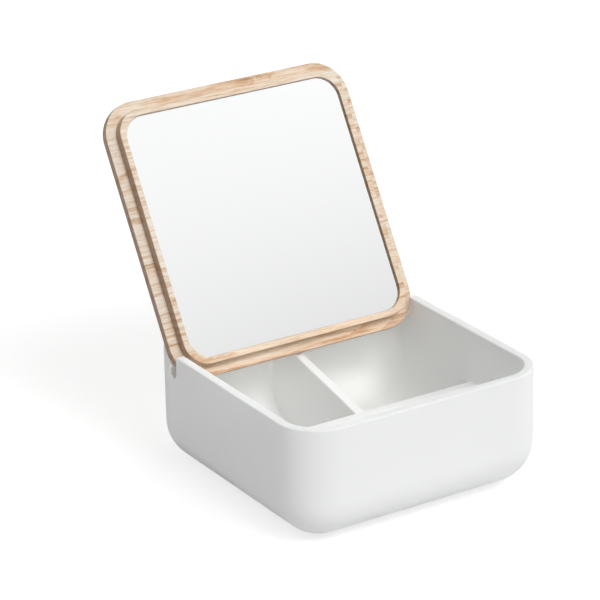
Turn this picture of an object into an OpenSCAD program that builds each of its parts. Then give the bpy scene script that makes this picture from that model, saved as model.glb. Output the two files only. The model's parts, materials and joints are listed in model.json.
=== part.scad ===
// A square vanity box with softly rounded corners and three inner compartments.
// A wooden lid with an inset mirror stands in two slots of the side walls and leans back.
// Millimetres, +Z up, front towards -Y. The origin is on the table, in the middle of the
// whole outline, which runs from the front of the box to the top edge of the leaning lid.

/* [Box] */
// Outside width and depth of the square box
box_w = 180; // [170:1:195]
// Height of the box shell, without the feet
shell_h = 76.8; // [72:0.1:84]
// Wall and floor thickness
wall = 6; // [5:0.1:6.5]
// Outside radius of the upright corners and of the bottom edge
corner_r = 27.7; // [25:0.1:30]
// Rounding of both edges of the rim
rim_r = 0.9; // [0.5:0.1:1.5]

/* [Dividers] */
// Thickness of the long inner wall
divider_t = 6; // [4:0.1:7]
// Thickness of the cross wall
cross_t = 7.2; // [5:0.1:8]
// Distance from the middle of the box to the rear face of the cross wall, towards the front
cross_back = 13.5; // [8:0.5:20]
// Height of the cross wall above the bottom of the shell
cross_h = 42.4; // [36:0.1:46]
// Radius in the upright corners between the cross wall and the sides of the box
fillet_r = 4; // [2:0.5:6]
// Radius in the upright corners beside the long wall
joint_r = 1.5; // [1:0.5:3]
// Rounding of the top edges of the two inner walls
top_r = 1; // [0.5:0.1:1.5]

/* [Slots] */
// Width of a slot in its lower, upright part
slot_w = 7.2; // [6.6:0.1:8]
// Depth of a slot below the rim
slot_depth = 14.6; // [14:0.1:17]
// Gap kept between the lid and the box wherever they meet
seat_gap = 0.35; // [0.3:0.05:0.6]

/* [Lid] */
// Distance by which the side edges of the square lid stand back from the sides of the box
lid_inset = 0.3; // [0.2:0.1:1.5]
// Thickness of the lid's outer board
lid_t = 5.1; // [4.5:0.1:5.6]
// Corner radius of the lid
lid_r = 23; // [22:0.1:26]
// Angle at which the lid leans back from upright
lean = 30.9; // [28:0.1:32]
// Distance from the middle of the box to the lid's front face, at rim height
seat_y = 61; // [58:0.1:62]
// Length of the lid that reaches down below the rim, along the lid
sink = 19.1; // [17:0.1:20]
// Height of the raised step on the mirror side
step_h = 6.6; // [6.3:0.1:8]
// Distance from the edge of the lid to the raised step
step_in = 6.9; // [6.6:0.1:9]
// Corner radius of the raised step
step_r = 16; // [15:0.1:18]
// Width of the raised step around the mirror
bezel_w = 4; // [3:0.1:6]
// Corner radius of the mirror pocket
pocket_r = 14.6; // [12:0.1:15]

/* [Mirror] */
// Thickness of the mirror glass
glass_t = 3; // [2:0.1:3.2]
// Gap around the glass inside its pocket
glass_gap = 0.4; // [0.2:0.05:0.8]
// Depth of the glass face below the top of the step
recess = 1.8; // [1:0.1:2.2]
// Thickness of the foam tape behind the glass
tape_t = 1; // [0.5:0.1:1.2]
// Length of each strip of tape
tape_len = 120; // [80:1:130]
// Width of each strip of tape
tape_w = 24; // [12:1:30]
// Distance of each strip from the middle of the mirror
tape_off = 42; // [25:1:50]

/* [Feet] */
// Diameter of a foot pad
foot_d = 12; // [8:0.5:16]
// Height of a foot pad
foot_h = 1.2; // [0.8:0.1:2]
// Distance from the middle of the box to a foot pad, along both sides
foot_off = 50; // [40:0.5:53]

/* [Hidden] */
$fn = 96;
half = box_w / 2;
inner_half = half - wall;
inner_r = corner_r - wall;
centre_off = half - corner_r;
rim_z = foot_h + shell_h;
cut = 1;

// Middle surface of the shell, where the inner walls end inside it
mid_r = corner_r - wall / 2;
mid_half = half - wall / 2;

// Lid in its own plane: x across, y up along the lid, z towards the mirror side
lid_w = box_w - 2 * lid_inset;
lid_half = lid_w / 2;
lid_mid = lid_half - sink;
step_w = lid_w - 2 * step_in;
pocket_w = step_w - 2 * bezel_w;
pocket_floor = step_h - recess - glass_t - tape_t;
glass_w = pocket_w - 2 * glass_gap;
glass_r = pocket_r - glass_gap;

// Lowest part of the lid that stands inside the thickness of a side wall
overlap = lid_half - inner_half;
arc_drop = sqrt(lid_r * lid_r - (lid_r - overlap) * (lid_r - overlap));
wall_v = lid_r - sink - arc_drop;
slot_front = seat_y + wall_v * sin(lean) - seat_gap / cos(lean);
slot_back = slot_front + slot_w;
slot_end_z = rim_z - slot_depth + slot_w / 2;
back_y = seat_y + (lid_t + seat_gap) / cos(lean);
relief_z = rim_z - (back_y - slot_back) / tan(lean);

// Rear lower edge of the lid, which stands just above the long inner wall
toe_y = seat_y - sink * sin(lean) + lid_t * cos(lean);
toe_z = rim_z - sink * cos(lean) - lid_t * sin(lean);
ridge_start_y = -cross_back;
ridge_start_z = foot_h + cross_h;
ridge_slope = (toe_z - seat_gap - ridge_start_z) / (toe_y - ridge_start_y);
ridge_end_z = ridge_start_z + ridge_slope * (mid_half - ridge_start_y);
ridge_lean = atan(ridge_slope);

// Height between the top line of the long wall and the middle line of its rounded edges
edge_drop = top_r / cos(ridge_lean);

// Middle of the box, from the origin in the middle of the whole outline
lid_rear_y = seat_y + (lid_w - sink) * sin(lean) + lid_t * cos(lean);
box_y = (half - lid_rear_y) / 2;

// Square outline with round corners, centred on the origin
module round_square(w, r) {
    square([w, w - 2 * r], center = true);
    square([w - 2 * r, w], center = true);
    for (sx = [-1, 1])
        for (sy = [-1, 1])
            translate([sx * (w / 2 - r), sy * (w / 2 - r)])
                circle(r = r);
}

// Section of wall and bottom bend, measured outwards from the corner centre
module wall_section() {
    translate([inner_r, corner_r])
        square([wall, shell_h - rim_r - corner_r]);
    translate([inner_r + rim_r, shell_h - rim_r])
        square([wall - 2 * rim_r, rim_r]);
    for (x = [inner_r + rim_r, corner_r - rim_r])
        translate([x, shell_h - rim_r])
            intersection() {
                circle(r = rim_r);
                translate([-rim_r, 0])
                    square([2 * rim_r, rim_r]);
            }
    intersection() {
        translate([0, corner_r])
            difference() {
                circle(r = corner_r);
                circle(r = inner_r);
            }
        square([corner_r, corner_r]);
    }
}

// Open square shell: four straight sides, four corners and the flat floor
module open_shell() {
    translate([-centre_off, -centre_off, 0])
        cube([2 * centre_off, 2 * centre_off, wall]);
    for (turn = [0, 90, 180, 270])
        rotate([0, 0, turn]) {
            translate([centre_off, centre_off, 0])
                rotate_extrude(angle = 90)
                    wall_section();
            translate([centre_off, centre_off, 0])
                rotate([90, 0, 0])
                    linear_extrude(height = 2 * centre_off)
                        wall_section();
        }
}

// Filled inside of the shell as seen from the side, cut off at a height
module inside_section(top) {
    intersection() {
        union() {
            translate([-centre_off, wall / 2])
                square([2 * centre_off, top]);
            translate([-mid_half, corner_r])
                square([2 * mid_half, top]);
            for (s = [-1, 1])
                translate([s * centre_off, corner_r])
                    circle(r = mid_r);
        }
        translate([-half, 0])
            square([box_w, top]);
    }
}

// Low wall across the whole width, between the front and the rear compartments
module cross_wall() {
    translate([0, -cross_back, 0])
        rotate([90, 0, 0])
            linear_extrude(height = cross_t)
                inside_section(cross_h - top_r);
    translate([-mid_half, top_r - cross_back - cross_t, cross_h - 2 * top_r])
        cube([2 * mid_half, cross_t - 2 * top_r, 2 * top_r]);
    for (y = [top_r - cross_t, -top_r])
        translate([-mid_half, y - cross_back, cross_h - top_r])
            rotate([0, 90, 0])
                cylinder(h = 2 * mid_half, r = top_r);
}

// Everything under a line set below the sloping top of the long inner wall, from the side
module below_ridge(drop) {
    start_y = ridge_start_y - divider_t / 2;
    polygon([
        [start_y, 0],
        [mid_half, 0],
        [mid_half, ridge_end_z - foot_h - drop],
        [start_y, cross_h - ridge_slope * divider_t / 2 - drop]
    ]);
}

// Slab of the long inner wall, of a given thickness and under a line set below its top
module wall_slab(thickness, drop) {
    translate([-thickness / 2, 0, 0])
        rotate([90, 0, 90])
            linear_extrude(height = thickness)
                intersection() {
                    inside_section(shell_h - rim_r - 1);
                    below_ridge(drop);
                }
}

// Long inner wall that rises towards the rear and carries the lid
module long_wall() {
    run = mid_half - ridge_start_y + divider_t / 2;
    wall_slab(divider_t, edge_drop);
    wall_slab(divider_t - 2 * top_r, 0);
    for (side = [-1, 1])
        translate([side * (divider_t / 2 - top_r), mid_half, ridge_end_z - foot_h - edge_drop])
            rotate([90 + ridge_lean, 0, 0])
                cylinder(h = run / cos(ridge_lean), r = top_r);
}

// Concave corner piece that fills the corner at the origin towards +X and +Y
module corner_fill(r, height) {
    linear_extrude(height = height)
        difference() {
            square([r, r]);
            translate([r, r])
                circle(r = r);
        }
}

// Corner piece between two heights, with its top edge rounded like the walls beside it
module rounded_fill(r, low, top) {
    translate([0, 0, low])
        corner_fill(r, top - top_r - low);
    translate([0, 0, top - top_r])
        linear_extrude(height = top_r)
            difference() {
                translate([-top_r, -top_r])
                    square([r + top_r, r + top_r]);
                translate([r, r])
                    circle(r = r + top_r);
            }
    translate([r, r, top - top_r])
        rotate([0, 0, 180])
            rotate_extrude(angle = 90)
                translate([r + top_r, 0])
                    circle(r = top_r);
}

// Rounded inner corners beside the cross wall and the long wall
module wall_fillets() {
    low = corner_r / 2;
    for (side = [0, 1])
        mirror([side, 0, 0]) {
            translate([-inner_half, -cross_back, 0])
                rounded_fill(fillet_r, low, cross_h);
            translate([-inner_half, -cross_back - cross_t, 0])
                mirror([0, 1, 0])
                    rounded_fill(fillet_r, low, cross_h);
            translate([divider_t / 2, -cross_back, 0])
                rounded_fill(joint_r, wall, cross_h);
            intersection() {
                translate([divider_t / 2, inner_half, low])
                    mirror([0, 1, 0])
                        corner_fill(joint_r, shell_h - low);
                rotate([90, 0, 90])
                    linear_extrude(height = half)
                        below_ridge(edge_drop);
            }
        }
}

// Outline of one slot from the side: upright below, leaning like the lid above
module slot_section() {
    translate([slot_front + slot_w / 2, slot_end_z])
        circle(r = slot_w / 2);
    translate([slot_front, slot_end_z])
        square([slot_w, rim_z + cut - slot_end_z]);
    polygon([
        [slot_front + slot_w / 2, relief_z],
        [slot_back, relief_z],
        [back_y + cut * tan(lean), rim_z + cut],
        [slot_front + slot_w / 2, rim_z + cut]
    ]);
}

module slots() {
    for (side = [0, 1])
        mirror([side, 0, 0])
            translate([centre_off + inner_r / 2, 0, 0])
                rotate([90, 0, 90])
                    linear_extrude(height = corner_r)
                        slot_section();
}

// Moulded shell with its two inner walls and the two slots for the lid
module box_shell() {
    color([0.93, 0.93, 0.93])
        translate([0, box_y, 0])
            difference() {
                translate([0, 0, foot_h]) {
                    open_shell();
                    cross_wall();
                    long_wall();
                    wall_fillets();
                }
                slots();
            }
}

// Places a shape drawn in the lid's own plane
module in_lid() {
    translate([0, box_y + seat_y, rim_z])
        rotate([90 - lean, 0, 0])
            translate([0, lid_mid, 0])
                children();
}

// Wooden lid: outer board, raised step and mirror pocket in one piece
module lid_panel() {
    color([0.85, 0.70, 0.52])
        in_lid()
            difference() {
                union() {
                    translate([0, 0, -lid_t])
                        linear_extrude(height = lid_t)
                            round_square(lid_w, lid_r);
                    linear_extrude(height = step_h)
                        round_square(step_w, step_r);
                }
                translate([0, 0, pocket_floor])
                    linear_extrude(height = step_h)
                        round_square(pocket_w, pocket_r);
            }
}

// Square mirror with round corners, lying in the pocket
module mirror_glass() {
    color([0.80, 0.84, 0.86])
        in_lid()
            translate([0, 0, pocket_floor + tape_t])
                linear_extrude(height = glass_t)
                    round_square(glass_w, glass_r);
}

// One strip of foam tape between the pocket floor and the glass
module tape_strip(offset_y) {
    color([0.20, 0.20, 0.20])
        in_lid()
            translate([-tape_len / 2, offset_y - tape_w / 2, pocket_floor])
                cube([tape_len, tape_w, tape_t]);
}

module tape_upper() tape_strip(tape_off);

module tape_lower() tape_strip(-tape_off);

// Round pad with a small bevel at its lower edge
module foot_pad(sx, sy) {
    bevel = foot_h / 4;
    color([0.75, 0.75, 0.75])
        translate([sx * foot_off, box_y + sy * foot_off, 0]) {
            cylinder(h = bevel, r1 = foot_d / 2 - bevel, r2 = foot_d / 2);
            translate([0, 0, bevel])
                cylinder(h = foot_h - bevel, r = foot_d / 2);
        }
}

module foot_front_left() foot_pad(-1, -1);

module foot_front_right() foot_pad(1, -1);

module foot_rear_left() foot_pad(-1, 1);

module foot_rear_right() foot_pad(1, 1);

box_shell();
lid_panel();
mirror_glass();
tape_upper();
tape_lower();
foot_front_left();
foot_front_right();
foot_rear_left();
foot_rear_right();
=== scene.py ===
import json
import math

import bmesh
import bpy
from mathutils import Matrix, Vector


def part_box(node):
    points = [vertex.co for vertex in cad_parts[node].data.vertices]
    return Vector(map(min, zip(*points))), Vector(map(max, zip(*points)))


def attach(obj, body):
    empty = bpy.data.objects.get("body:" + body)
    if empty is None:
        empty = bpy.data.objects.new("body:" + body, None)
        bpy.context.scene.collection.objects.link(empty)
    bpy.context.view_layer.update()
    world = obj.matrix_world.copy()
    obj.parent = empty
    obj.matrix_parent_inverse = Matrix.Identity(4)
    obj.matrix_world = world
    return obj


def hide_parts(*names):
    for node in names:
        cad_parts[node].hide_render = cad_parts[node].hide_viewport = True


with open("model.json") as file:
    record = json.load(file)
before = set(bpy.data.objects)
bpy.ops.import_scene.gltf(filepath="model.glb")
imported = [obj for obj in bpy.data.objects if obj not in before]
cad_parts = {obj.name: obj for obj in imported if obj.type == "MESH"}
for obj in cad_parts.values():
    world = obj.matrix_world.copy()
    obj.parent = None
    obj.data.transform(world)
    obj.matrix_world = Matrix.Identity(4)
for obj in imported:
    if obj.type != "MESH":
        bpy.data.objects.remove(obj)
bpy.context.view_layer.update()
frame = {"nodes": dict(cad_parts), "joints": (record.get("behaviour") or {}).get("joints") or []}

# White vanity box with a wooden lid: the lid holds a mirror and stands in two slots of the box.
# Metres, +Z up, the front of the box towards -Y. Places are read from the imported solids.

MM = 0.001

# Sizes of the lid that the frame doesn't give by themselves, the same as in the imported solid
BOARD_T = 5.1 * MM
STEP_T = 6.6 * MM
LID_R = 23.0 * MM
STEP_IN = 6.9 * MM
STEP_R = 16.0 * MM
BEZEL = 4.0 * MM
POCKET_R = 14.6 * MM
POCKET_FLOOR = 0.8 * MM

# Fine edges that only the scene has, and its closer fit of the glass: the solid has 0.4 mm
EASE = 0.45 * MM
POCKET_EASE = EASE * 0.7
GLASS_GAP = 0.05 * MM
ARRIS = 0.25 * MM
PAD_EDGE = 0.35 * MM

# Places read from the frame
shell_low, shell_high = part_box("box_shell")
box_middle_y = (shell_low.y + shell_high.y) / 2
pad_names = ("foot_front_left", "foot_front_right", "foot_rear_left", "foot_rear_right")
tape_names = ("tape_upper", "tape_lower")

lift = Vector(frame["joints"][0]["axis"]).normalized()
side = Vector((1, 0, 0))
mirror_side = side.cross(lift)


def lid_span(node):
    """Lowest and highest reach of a node across, along the lid and towards the mirror side."""
    points = [vertex.co for vertex in frame["nodes"][node].data.vertices]
    reach = [[point.dot(axis) for point in points] for axis in (side, lift, mirror_side)]
    return [min(values) for values in reach], [max(values) for values in reach]


board_low, board_high = lid_span("lid_panel")
glass_low, glass_high = lid_span("mirror_glass")
lid_width = board_high[0] - board_low[0]
step_width = lid_width - 2 * STEP_IN
pocket_width = step_width - 2 * BEZEL
lid_centre_along = (board_low[1] + board_high[1]) / 2
board_face = board_low[2] + BOARD_T
lid_origin = lift * lid_centre_along + mirror_side * board_face
lid_turn = Matrix((side, lift, mirror_side)).transposed().to_4x4()
lid_matrix = Matrix.Translation(lid_origin) @ lid_turn


# Node helpers
class Tree:
    """Short calls for building the nodes of a material, the world or a geometry tree."""

    def __init__(self, node_tree):
        self.nodes = node_tree.nodes
        self.links = node_tree.links

    def add(self, kind, inputs=None, **settings):
        """A new node with its settings, and with inputs that are linked or set."""
        node = self.nodes.new(kind)
        for key, value in settings.items():
            setattr(node, key, value)
        for key, value in (inputs or {}).items():
            self.put(node.inputs[key], value)
        return node

    def put(self, socket, value):
        """Links a socket, or a node's first output, into a socket, or sets a plain value."""
        if isinstance(value, bpy.types.NodeSocket):
            self.links.new(value, socket)
        elif isinstance(value, bpy.types.Node):
            self.links.new(value.outputs[0], socket)
        else:
            socket.default_value = value

    def math(self, operation, a, b=0.0, clamp=False):
        node = self.add("ShaderNodeMath", {0: a, 1: b}, operation=operation, use_clamp=clamp)
        return node.outputs[0]

    def point(self, x, y, z):
        return self.add("ShaderNodeCombineXYZ", {0: x, 1: y, 2: z}).outputs[0]

    def parts(self, vector):
        return self.add("ShaderNodeSeparateXYZ", {0: vector}).outputs

    def remap(self, value, low, high, to_low=0.0, to_high=1.0, smooth=False):
        return self.add("ShaderNodeMapRange", {
            "Value": value, "From Min": low, "From Max": high, "To Min": to_low, "To Max": to_high,
        }, interpolation_type="SMOOTHSTEP" if smooth else "LINEAR").outputs[0]


class Material(Tree):
    """A material with its Principled shader, and short calls for patterns."""

    def __init__(self, name):
        self.material = bpy.data.materials.new(name)
        self.material.use_nodes = True
        super().__init__(self.material.node_tree)
        self.shader = self.nodes["Principled BSDF"]

    def set(self, **inputs):
        for key, value in inputs.items():
            self.put(self.shader.inputs[key.replace("_", " ")], value)

    def object_place(self):
        return self.add("ShaderNodeTexCoord").outputs["Object"]

    def attribute(self, name):
        return self.add("ShaderNodeAttribute", attribute_name=name).outputs["Fac"]

    def mapped(self, vector, scale=(1, 1, 1), rotation=(0, 0, 0), location=(0, 0, 0)):
        return self.add("ShaderNodeMapping", {
            "Vector": vector, "Scale": scale, "Rotation": rotation, "Location": location,
        }).outputs[0]

    def noise(self, vector, scale, detail=2.0, roughness=0.5):
        return self.add("ShaderNodeTexNoise", {
            "Vector": vector, "Scale": scale, "Detail": detail, "Roughness": roughness,
        }).outputs[0]

    def ramp(self, value, stops):
        node = self.add("ShaderNodeValToRGB", {"Fac": value})
        points = node.color_ramp.elements
        while len(points) < len(stops):
            points.new(0.5)
        for point, (place, colour) in zip(points, stops):
            point.position = place
            point.color = (*colour, 1)
        return node.outputs[0]

    def mix(self, factor, a, b, blend="MIX"):
        node = self.add("ShaderNodeMix", data_type="RGBA", blend_type=blend)
        for socket, value in zip((node.inputs[0], node.inputs[6], node.inputs[7]), (factor, a, b)):
            self.put(socket, value)
        return node.outputs[2]

    def bump(self, height, strength, distance):
        return self.add("ShaderNodeBump", {
            "Height": height, "Strength": strength, "Distance": distance}).outputs[0]


# Most of a noise lies between these two values
NOISE_REACH = (0.3, 0.7)

# White moulded plastic
PLASTIC_WHITES = ((0.950, 0.962, 0.954, 1), (0.960, 0.970, 0.963, 1))
PLASTIC_ROUGHNESS = (0.40, 0.50)
PLASTIC_IOR = 1.49
SPARK_GRAIN_DEPTH = 0.06 * MM


def white_moulded_plastic():
    """Satin white plastic: a fine spark-eroded grain, with a faint unevenness of tone and gloss."""
    tree = Material("white moulded plastic")
    place = tree.object_place()
    cloud = tree.noise(place, scale=28.0, detail=3.0, roughness=0.6)
    grain = tree.noise(place, scale=2600.0, roughness=0.6)
    patches = tree.noise(place, scale=420.0)
    tree.set(
        Base_Color=tree.mix(tree.remap(cloud, *NOISE_REACH), *PLASTIC_WHITES),
        Roughness=tree.remap(patches, *NOISE_REACH, *PLASTIC_ROUGHNESS),
        Normal=tree.bump(grain, strength=0.10, distance=SPARK_GRAIN_DEPTH),
        IOR=PLASTIC_IOR,
    )
    return tree.material


# Pale ash wood: colours from light to dark by tone, then the colours of its details
WOOD_TONES = (
    (0.0, (0.915, 0.855, 0.775)),
    (0.30, (0.860, 0.745, 0.615)),
    (0.58, (0.735, 0.540, 0.370)),
    (1.0, (0.470, 0.240, 0.120)),
)
PORE_BROWN = (0.380, 0.205, 0.110, 1)
GOLDEN_TINT = (0.985, 0.865, 0.755, 1)
# Brown of the lid's darker end grain and of the painted shade on its sides and underside
END_GRAIN_AND_SHADE_BROWN = (0.250, 0.108, 0.045, 1)
PORE_NOISE = (0.60, 0.74)
PORE_COVER = 0.42
END_GRAIN_AND_SHADE_COVER = 0.70
WOOD_ROUGHNESS = (0.46, 0.60)
WOOD_IOR = 1.46
WOOD_RELIEF = 0.08 * MM
SUNK_PORES = -0.7
RAISED_RINGS = 0.3

# Year rings: how many, how they lean with depth, how far the waves bend them, how dark they are
RINGS_PER_METRE = 120.0
RING_LEAN = 0.55
SLOW_BEND = 30 * MM
QUICK_BEND = 3 * MM
RING_DARKNESS = 0.37

# A ring starts and is darkest at these shares of its width; patches of the wood have faint rings
RING_START = 0.15
RING_DARKEST = 0.90
RING_PATCH_NOISE = (0.36, 0.64)
FAINTEST_RINGS = 0.10

# Fibres at two widths
WIDE_FIBRE_NOISE = (0.35, 0.72)
WIDE_FIBRE_DARKNESS = 0.30
THIN_FIBRE_NOISE = (0.38, 0.70)
THIN_FIBRE_DARKNESS = 0.40

# The gold of the lid's lower edge: how far below its middle it is full, and where it fades out
GOLDEN_FULL = 80 * MM
GOLDEN_GONE = 55 * MM
GOLDEN_AT_EDGE = 0.85
GOLDEN_PATCH_NOISE = (0.45, 0.66)
GOLDEN_IN_PATCHES = 0.50


def along_grain(tree, place, squeeze, offset, scale, detail=2.0, roughness=0.5):
    """Noise drawn out along the grain, across the lid; offset picks a stretch of the noise."""
    drawn_out = tree.mapped(place, scale=(squeeze, 1, 1), location=offset)
    return tree.noise(drawn_out, scale, detail, roughness)


def year_rings(tree, place, along, depth):
    """Bands that run across the lid, bent by slow and quick waves."""
    slow = along_grain(tree, place, squeeze=0.22, offset=(2.6, 8.2, 0.9), scale=30.0)
    quick = along_grain(tree, place, squeeze=0.60, offset=(0.6, 0.2, 2.1), scale=170.0,
                        detail=3.0, roughness=0.6)
    bent = tree.math("ADD", along, tree.math("MULTIPLY", depth, RING_LEAN))
    bent = tree.math("ADD", bent, tree.remap(slow, 0, 1, -SLOW_BEND, SLOW_BEND))
    bent = tree.math("ADD", bent, tree.remap(quick, 0, 1, -QUICK_BEND, QUICK_BEND))
    ring = tree.math("FRACT", tree.math("MULTIPLY", bent, RINGS_PER_METRE))
    rise = tree.remap(ring, RING_START, RING_DARKEST, smooth=True)
    fall = tree.remap(ring, RING_DARKEST, 1.0, 1.0, 0.0)
    return tree.math("MULTIPLY", rise, fall)


def fibres(tree, place):
    """Long streaks at two widths."""
    wide = along_grain(tree, place, squeeze=0.05, offset=(0, 0, 0), scale=330.0,
                       detail=3.0, roughness=0.6)
    thin = along_grain(tree, place, squeeze=0.06, offset=(3.4, 3.8, 1.3), scale=1100.0,
                       roughness=0.6)
    wide_tone = tree.remap(wide, *WIDE_FIBRE_NOISE, to_high=WIDE_FIBRE_DARKNESS)
    thin_tone = tree.remap(thin, *THIN_FIBRE_NOISE, to_high=THIN_FIBRE_DARKNESS)
    return tree.math("ADD", wide_tone, thin_tone)


def golden_parts(tree, place, along):
    """How golden the wood is: in broad patches, and along the lower edge of the lid."""
    patches = along_grain(tree, place, squeeze=0.30, offset=(2.2, 0.9, 3.3), scale=24.0)
    patch = tree.remap(patches, *GOLDEN_PATCH_NOISE, to_high=GOLDEN_IN_PATCHES, smooth=True)
    full, gone = lid_centre_along - GOLDEN_FULL, lid_centre_along - GOLDEN_GONE
    lower_edge = tree.remap(along, full, gone, GOLDEN_AT_EDGE, 0.0)
    return tree.math("ADD", patch, lower_edge, clamp=True)


def ash_wood():
    """Pale oiled ash with the grain across the lid: wavy year rings, fine fibres and open pores,
    with darker end grain and painted shade on the sides and underside.
    """
    tree = Material("pale ash wood")
    lean_back = math.atan2(-mirror_side.y, mirror_side.z)
    place = tree.mapped(tree.object_place(), rotation=(-lean_back, 0, 0))
    _, along, depth = tree.parts(place)
    rings = year_rings(tree, place, along, depth)
    uneven = along_grain(tree, place, squeeze=0.15, offset=(6.1, 2.4, 4.9), scale=75.0)
    patches = tree.remap(uneven, *RING_PATCH_NOISE, to_low=FAINTEST_RINGS, smooth=True)
    shown_rings = tree.math("MULTIPLY", rings, patches)
    tone = tree.math("ADD", tree.math("MULTIPLY", shown_rings, RING_DARKNESS), fibres(tree, place))
    pores = along_grain(tree, place, squeeze=0.08, offset=(1.1, 0.3, 0.9), scale=1900.0,
                        roughness=0.65)
    pore = tree.remap(pores, *PORE_NOISE, smooth=True)

    colour = tree.ramp(tone, WOOD_TONES)
    colour = tree.mix(tree.math("MULTIPLY", pore, PORE_COVER), colour, PORE_BROWN)
    colour = tree.mix(golden_parts(tree, place, along), colour, GOLDEN_TINT, "MULTIPLY")
    # Painted shade on the lid's underside and sides, with the darker end grain of the sides
    end_grain_and_shade = tree.math("MULTIPLY", tree.attribute("end_grain_and_shade"), END_GRAIN_AND_SHADE_COVER)
    colour = tree.mix(end_grain_and_shade, colour, END_GRAIN_AND_SHADE_BROWN)
    sunk_pores = tree.math("MULTIPLY", pore, SUNK_PORES)
    raised_rings = tree.math("MULTIPLY", rings, RAISED_RINGS)
    relief = tree.math("ADD", sunk_pores, raised_rings)
    tree.set(
        Base_Color=colour,
        Roughness=tree.remap(tone, 0.0, 1.0, *WOOD_ROUGHNESS),
        Normal=tree.bump(relief, strength=0.30, distance=WOOD_RELIEF),
        IOR=WOOD_IOR,
    )
    return tree.material


# Mirror: silver of the face and green-grey of the ground edge
MIRROR_SILVER = (0.955, 0.960, 0.960, 1)
GROUND_EDGE_GREY = (0.520, 0.570, 0.550, 1)
MIRROR_ROUGHNESS = (0.012, 0.028)
EDGE_ROUGHNESS = 0.30
EDGE_METALLIC = 0.15


def silvered_glass():
    """Mirror face with a greenish ground edge."""
    tree = Material("silvered mirror glass")
    edge = tree.attribute("ground_edge")
    smear = tree.noise(tree.object_place(), scale=35.0, detail=3.0, roughness=0.6)
    face_roughness = tree.remap(smear, *NOISE_REACH, *MIRROR_ROUGHNESS)
    edge_roughness = tree.math("MULTIPLY", edge, EDGE_ROUGHNESS)
    tree.set(
        Base_Color=tree.mix(edge, MIRROR_SILVER, GROUND_EDGE_GREY),
        Roughness=tree.math("ADD", face_roughness, edge_roughness),
        Metallic=tree.remap(edge, 0, 1, 1.0, EDGE_METALLIC),
    )
    return tree.material


# Pads and tapes
PAD_GREYS = ((0.50, 0.50, 0.49), (0.60, 0.60, 0.59))
TAPE_BLACKS = ((0.018, 0.018, 0.018), (0.035, 0.035, 0.035))
CLOUDS_PER_CELL = 0.12
CELL_DEPTH = 0.1 * MM
SOFT_ROUGHNESS = (0.72, 0.86)


def small_celled(name, dark, light, cells_per_metre):
    """Rubber or foam with small cells and a faint unevenness of tone."""
    tree = Material(name)
    place = tree.object_place()
    cells = tree.add("ShaderNodeTexVoronoi", {"Vector": place, "Scale": cells_per_metre}).outputs[0]
    cloud = tree.noise(place, scale=cells_per_metre * CLOUDS_PER_CELL)
    tree.set(
        Base_Color=tree.mix(tree.remap(cloud, *NOISE_REACH), (*dark, 1), (*light, 1)),
        Roughness=tree.remap(cloud, *NOISE_REACH, *SOFT_ROUGHNESS),
        Normal=tree.bump(cells, strength=0.35, distance=CELL_DEPTH),
    )
    return tree.material


plastic = white_moulded_plastic()
wood = ash_wood()
mirror = silvered_glass()
pad_rubber = small_celled("translucent pad rubber", *PAD_GREYS, cells_per_metre=1800.0)
tape_foam = small_celled("black tape foam", *TAPE_BLACKS, cells_per_metre=2600.0)


# Mesh helpers
MERGE_DISTANCE = 1e-7


def show(name, data):
    """A new object in the scene for a mesh, a light or a camera."""
    thing = bpy.data.objects.new(name, data)
    bpy.context.scene.collection.objects.link(thing)
    return thing


def wear(mesh, material):
    """Gives a mesh one material in place of any that it has."""
    mesh.materials.clear()
    mesh.materials.append(material)


def new_piece(name, bm, material, body, slot, *nodes):
    """Turns a bmesh in the frame's place into a piece that rides on a body and replaces nodes."""
    mesh = bpy.data.meshes.new(name)
    bm.to_mesh(mesh)
    bm.free()
    wear(mesh, material)
    piece = show(name, mesh)
    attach(piece, body)
    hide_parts(*nodes)
    return piece


def rounded_square(width, radius, steps=16):
    """Points round a square with round corners, centred on the origin, as (x, y) pairs."""
    reach = width / 2 - radius
    points = []
    for quarter, (x_sign, y_sign) in enumerate([(1, 1), (-1, 1), (-1, -1), (1, -1)]):
        for i in range(steps + 1):
            turn = math.pi / 2 * quarter + math.pi / 2 * i / steps
            x = x_sign * reach + radius * math.cos(turn)
            y = y_sign * reach + radius * math.sin(turn)
            points.append((x, y))
    return points


def stack_of_squares(bm, loops):
    """Skins a closed solid over rounded squares, each (width, corner radius, height), in order."""
    rings = []
    for width, radius, height in loops:
        outline = rounded_square(width, radius)
        rings.append([bm.verts.new((x, y, height)) for x, y in outline])
    count = len(rings[0])
    for low, high in zip(rings, rings[1:]):
        for i in range(count):
            j = (i + 1) % count
            bm.faces.new((low[i], low[j], high[j], high[i]))
    bm.faces.new(list(reversed(rings[0])))
    bm.faces.new(rings[-1])


def eased_edge(width, radius, z, ease, hollow=False, rising=False, parts=4):
    """Loops that make a sharp rim a small quarter round between a wall and a flat face at z.

    The wall is below the face, and the loops end at the face. When rising, the wall is above the
    face and the loops start at the face. The rim of a hollow opens towards the face.
    """
    loops = []
    for i in range(parts + 1):
        turn = math.pi / 2 * i / parts
        inset, drop = ease * (1 - math.cos(turn)), ease * (1 - math.sin(turn))
        if rising:
            inset, drop = drop, -inset
        if hollow:
            inset = -inset
        loops.append((width - 2 * inset, radius - inset, z - drop))
    return loops


def paint(mesh, name, value_of_face):
    """Stores one number for each face corner, so that a material can tell the faces apart."""
    layer = mesh.attributes.new(name, "FLOAT", "CORNER")
    for face in mesh.polygons:
        value = value_of_face(face)
        for corner in face.loop_indices:
            layer.data[corner].value = value


def smooth_by_angle(piece, degrees=30):
    """Smooth shading that keeps sharp what turns by more than the angle."""
    mesh = piece.data
    mesh.polygons.foreach_set("use_smooth", [True] * len(mesh.polygons))
    mesh.set_sharp_from_angle(angle=math.radians(degrees))
    weighted = piece.modifiers.new("even flat faces", "WEIGHTED_NORMAL")
    weighted.keep_sharp = True


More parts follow.
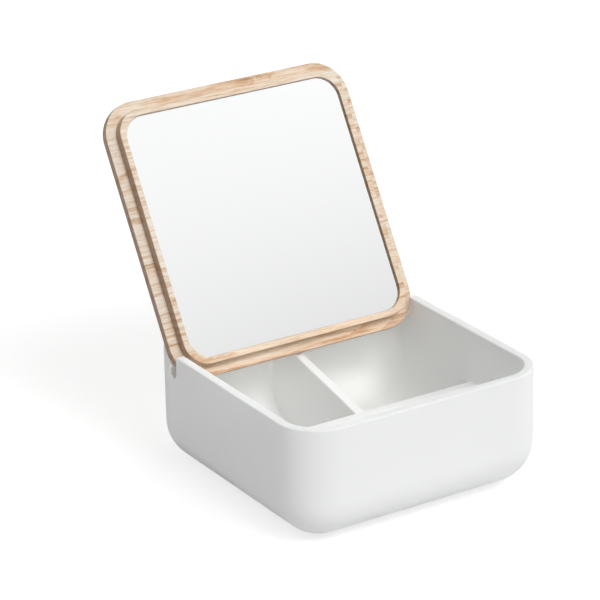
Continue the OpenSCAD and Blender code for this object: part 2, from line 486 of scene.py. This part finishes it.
def settle_on_lid(bm):
    """Moves a solid made flat on the origin to its place on the lid, with its faces outwards."""
    bmesh.ops.transform(bm, matrix=lid_matrix, verts=bm.verts)
    bmesh.ops.recalc_face_normals(bm, faces=bm.faces)


# Wooden lid: the sides are the darkest, from darker end grain and painted shade, and the underside,
# painted shade alone, has this share of their darkness
UNDERSIDE_PAINTED_SHADE = 0.75
DARKNESS_CURVE = 1.5


def end_grain_and_shade_darkness(face):
    """How dark a face of the lid is painted: full at the sides, for darker end grain and painted
    shade, less below, as painted shade alone, none on the broad faces.
    """
    underside = -face.normal.dot(lift)
    return min(1.0, max(abs(face.normal.x), UNDERSIDE_PAINTED_SHADE * underside)) ** DARKNESS_CURVE


def wooden_lid():
    """Board with a raised step, and a pocket in the step for the mirror."""
    loops = eased_edge(lid_width, LID_R, -BOARD_T, EASE, rising=True)
    loops += eased_edge(lid_width, LID_R, 0, EASE)
    loops.append((step_width, STEP_R, 0))
    loops += eased_edge(step_width, STEP_R, STEP_T, EASE)
    loops += reversed(eased_edge(pocket_width, POCKET_R, STEP_T, POCKET_EASE, hollow=True))
    loops.append((pocket_width, POCKET_R, POCKET_FLOOR))
    bm = bmesh.new()
    stack_of_squares(bm, loops)
    bmesh.ops.remove_doubles(bm, verts=bm.verts, dist=MERGE_DISTANCE)
    settle_on_lid(bm)
    piece = new_piece("oiled_wooden_lid", bm, wood, "lid", "light_wood", "lid_panel")
    # Marks the sides for darker end grain and painted shade, and the underside for painted shade
    paint(piece.data, "end_grain_and_shade", end_grain_and_shade_darkness)
    smooth_by_angle(piece)


# Mirror: a face counts as flat from this cosine to the way that the mirror looks
FLAT_FACE = 0.95


def ground_edge_share(face):
    """0 on the flat front and back of the glass, 1 on its edge."""
    return 0.0 if abs(face.normal.dot(mirror_side)) > FLAT_FACE else 1.0


def mirror_plate():
    """Glass plate with ground edges, a hair smaller than its pocket."""
    width = pocket_width - 2 * GLASS_GAP
    radius = POCKET_R - GLASS_GAP
    back, front = glass_low[2] - board_face, glass_high[2] - board_face
    narrow, inner = width - 2 * ARRIS, radius - ARRIS
    bm = bmesh.new()
    stack_of_squares(bm, [
        (narrow, inner, back),
        (width, radius, back + ARRIS),
        (width, radius, front - ARRIS),
        (narrow, inner, front),
    ])
    settle_on_lid(bm)
    piece = new_piece("silvered_mirror", bm, mirror, "lid", "mirror", "mirror_glass")
    paint(piece.data, "ground_edge", ground_edge_share)


# Foot pads, by Geometry Nodes
PAD_SIDES = 48


def pad_tree(size_names):
    """Nodes for four round pads whose lower rim is drawn in; gives the tree and its input keys."""
    group = bpy.data.node_groups.new("pads on a square", "GeometryNodeTree")
    kinds = {name: "NodeSocketFloat" for name in size_names}
    kinds["Material"] = "NodeSocketMaterial"
    keys = {}
    for name, kind in kinds.items():
        socket = group.interface.new_socket(name, in_out="INPUT", socket_type=kind)
        keys[name] = socket.identifier
    group.interface.new_socket("Geometry", in_out="OUTPUT", socket_type="NodeSocketGeometry")

    tree = Tree(group)
    given = tree.add("NodeGroupInput").outputs
    radius = tree.math("DIVIDE", given["Diameter"], 2.0)
    half_height = tree.math("DIVIDE", given["Height"], 2.0)
    cylinder = tree.add("GeometryNodeMeshCylinder", {
        "Vertices": PAD_SIDES, "Side Segments": 1, "Radius": radius, "Depth": given["Height"]})
    standing = tree.add("GeometryNodeTransform", {
        "Geometry": cylinder, "Translation": tree.point(0.0, 0.0, half_height)})
    # The rim that meets the table is drawn in by the edge width
    x, y, z = tree.parts(tree.add("GeometryNodeInputPosition"))
    shrink = tree.math("DIVIDE", tree.math("SUBTRACT", radius, given["Edge"]), radius)
    drawn_in = tree.point(tree.math("MULTIPLY", x, shrink), tree.math("MULTIPLY", y, shrink), z)
    pad = tree.add("GeometryNodeSetPosition", {
        "Geometry": standing, "Selection": tree.math("LESS_THAN", z, half_height),
        "Position": drawn_in})
    span = tree.math("MULTIPLY", given["Reach"], 2.0)
    corners = tree.add("GeometryNodeMeshGrid", {
        "Vertices X": 2, "Vertices Y": 2, "Size X": span, "Size Y": span})
    under_box = tree.add("GeometryNodeTransform", {
        "Geometry": corners, "Translation": tree.point(0.0, given["Middle Y"], 0.0)})
    copies = tree.add("GeometryNodeInstanceOnPoints", {"Points": under_box, "Instance": pad})
    real = tree.add("GeometryNodeRealizeInstances", {"Geometry": copies})
    dressed = tree.add("GeometryNodeSetMaterial", {
        "Geometry": real, "Material": given["Material"]})
    tree.add("NodeGroupOutput", {"Geometry": dressed})
    return group, keys


def plain_mesh(maker):
    """The evaluated result of a maker object as a bmesh; the maker and its modifier go."""
    evaluated = maker.evaluated_get(bpy.context.evaluated_depsgraph_get())
    mesh = bpy.data.meshes.new_from_object(evaluated)
    bm = bmesh.new()
    bm.from_mesh(mesh)
    maker.modifiers.clear()
    bpy.data.objects.remove(maker)
    bpy.data.meshes.remove(mesh)
    return bm


def foot_pads():
    """Four low round pads with a soft edge, one near each corner of the bottom."""
    low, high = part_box("foot_front_right")
    values = {
        "Diameter": high.x - low.x,
        "Height": high.z - low.z,
        "Edge": PAD_EDGE,
        "Reach": (low.x + high.x) / 2,
        "Middle Y": box_middle_y,
    }
    group, keys = pad_tree(values)
    maker = show("pad maker", bpy.data.meshes.new("pad maker"))
    modifier = maker.modifiers.new("pads", "NODES")
    modifier.node_group = group
    values["Material"] = pad_rubber
    for name, value in values.items():
        modifier[keys[name]] = value
    bm = plain_mesh(maker)
    smooth_by_angle(new_piece("foot_pads", bm, pad_rubber, "box", "foot_pad", *pad_names))


# Camera: its way from the target as degrees to the right of the front and above the table
CAMERA_WAY = (-32.24, 22.19)
CAMERA_ROLL = -1.057
CAMERA_DISTANCE = 1.8721
CAMERA_TARGET = Vector((-0.0334, box_middle_y, 0.1217))
SENSOR_WIDTH = 36.0
FOCAL_PIXELS = 3090.13
PICTURE_PIXELS = 600


def towards(azimuth, elevation):
    """Unit vector: degrees from the front towards the right, and degrees above the table."""
    around, up = math.radians(azimuth), math.radians(elevation)
    return Vector((
        math.sin(around) * math.cos(up), -math.cos(around) * math.cos(up), math.sin(up)))


def photo_camera():
    """Camera at the photograph's viewing angle, for a square picture."""
    away = towards(*CAMERA_WAY)
    level = (-away).cross(Vector((0, 0, 1))).normalized()
    upright = level.cross(-away)
    roll = math.radians(CAMERA_ROLL)
    right = math.cos(roll) * level + math.sin(roll) * upright
    up = math.cos(roll) * upright - math.sin(roll) * level
    data = bpy.data.cameras.new("photo camera")
    data.sensor_width = SENSOR_WIDTH
    data.lens = FOCAL_PIXELS / PICTURE_PIXELS * SENSOR_WIDTH
    camera = show("photo camera", data)
    turn = Matrix((right, up, away)).transposed().to_4x4()
    camera.matrix_world = Matrix.Translation(CAMERA_TARGET + away * CAMERA_DISTANCE) @ turn
    bpy.context.scene.camera = camera


# Floor: half its width, and its greys for the light that it sends back and for the camera
FLOOR_REACH = 6.0
FLOOR_BOUNCE = (0.85, 0.85, 0.85, 1)
FLOOR_SEEN = (0.36, 0.36, 0.36, 1)
FLOOR_GLOW = 0.73
FLOOR_ROUGHNESS = 0.9

# Key light, from just right of the front
KEY_WAY = (8, 50)
KEY_ENERGY = 0.22
KEY_ANGLE = 40

# Soft lights round the table: azimuth, elevation, tightness and strength of each
SOFT_LIGHTS = (
    (8, 50, 75.0, 16.4),
    (0, 20, 40.0, 1.1),
    (20, 35, 40.0, 0.85),
    (45, 35, 40.0, 0.98),
    (90, 35, 40.0, 6.4),
    (135, 35, 40.0, 1.1),
    (-45, 50, 40.0, 2.0),
    (-90, 35, 40.0, 0.95),
    (-135, 45, 5.0, 0.63),
)

# White backdrop: full below the first height of a ray's way and gone above the second
BACKDROP_FULL = 0.04
BACKDROP_GONE = 0.20
BACKDROP_STRENGTH = 0.85

# Spots for the compartments under the lid: target, power and width of what each lights
FILL_WAY = (-32, 24)
FILL_DISTANCE = 1.0
FILL_SIZE = 0.02
FILL_SPOTS = {
    "left fill": ((-0.018, 0.045, 0.050), 6.8, 0.074),
    "right fill": ((0.050, 0.045, 0.054), 7.8, 0.084),
}


def pale_floor():
    """Paper floor; for the camera alone it is darker and glows, so that its shadows stay faint."""
    bm = bmesh.new()
    bmesh.ops.create_grid(bm, x_segments=1, y_segments=1, size=FLOOR_REACH)
    mesh = bpy.data.meshes.new("pale floor")
    bm.to_mesh(mesh)
    bm.free()
    floor = show("pale floor", mesh)
    paper = Material("pale paper floor")
    seen = paper.add("ShaderNodeLightPath").outputs["Is Camera Ray"]
    paper.set(
        Base_Color=paper.mix(seen, FLOOR_BOUNCE, FLOOR_SEEN),
        Roughness=FLOOR_ROUGHNESS,
        Emission_Color=(1, 1, 1, 1),
        Emission_Strength=paper.math("MULTIPLY", seen, FLOOR_GLOW),
    )
    wear(mesh, paper.material)


def facing(way):
    """Turn of a light or a spot that shines from that way."""
    return way.to_track_quat("Z", "Y").to_euler()


def key_light():
    """Weak and broad sun."""
    sun = bpy.data.lights.new("soft key light", "SUN")
    sun.energy = KEY_ENERGY
    sun.angle = math.radians(KEY_ANGLE)
    show("soft key light", sun).rotation_euler = facing(towards(*KEY_WAY))


def bright_world():
    """Surrounding of soft lights, with a backdrop for the camera and for reflections alone."""
    world = bpy.data.worlds.new("bright studio")
    world.use_nodes = True
    bpy.context.scene.world = world
    tree = Tree(world.node_tree)
    way = tree.add("ShaderNodeTexCoord").outputs["Generated"]
    total = 0.0
    for azimuth, elevation, tightness, strength in SOFT_LIGHTS:
        dot = tree.add("ShaderNodeVectorMath", {0: way, 1: towards(azimuth, elevation)},
                       operation="DOT_PRODUCT").outputs["Value"]
        lobe = tree.math("POWER", tree.math("MAXIMUM", dot, 0.0), tightness)
        total = tree.math("ADD", total, tree.math("MULTIPLY", lobe, strength))
    height = tree.parts(way)["Z"]
    backdrop = tree.remap(height, BACKDROP_FULL, BACKDROP_GONE, BACKDROP_STRENGTH, 0.0)
    path = tree.add("ShaderNodeLightPath").outputs
    seen = tree.math("MAXIMUM", path["Is Camera Ray"], path["Is Glossy Ray"])
    total = tree.math("ADD", total, tree.math("MULTIPLY", backdrop, seen))
    background = tree.nodes["Background"].inputs
    tree.put(background["Strength"], total)
    tree.put(background["Color"], (1, 1, 1, 1))


def fill_spot(name, target, power, width):
    """Small soft spot that brightens a part of the compartments, from in front of the box."""
    lamp = bpy.data.lights.new(name, "SPOT")
    lamp.energy = power
    lamp.spot_size = 2 * math.atan(width / 2 / FILL_DISTANCE)
    lamp.spot_blend = 1.0
    lamp.shadow_soft_size = FILL_SIZE
    way = towards(*FILL_WAY)
    spot = show(name, lamp)
    spot.location = Vector(target) + way * FILL_DISTANCE
    spot.rotation_euler = facing(way)


# The object
wooden_lid()
mirror_plate()
foot_pads()
for name, material in [("box_shell", plastic)] + [(name, tape_foam) for name in tape_names]:
    wear(frame["nodes"][name].data, material)

# The picture
photo_camera()
pale_floor()
key_light()
bright_world()
for name, (target, power, width) in FILL_SPOTS.items():
    fill_spot(name, target, power, width)
bpy.context.scene.view_settings.view_transform = "Standard"
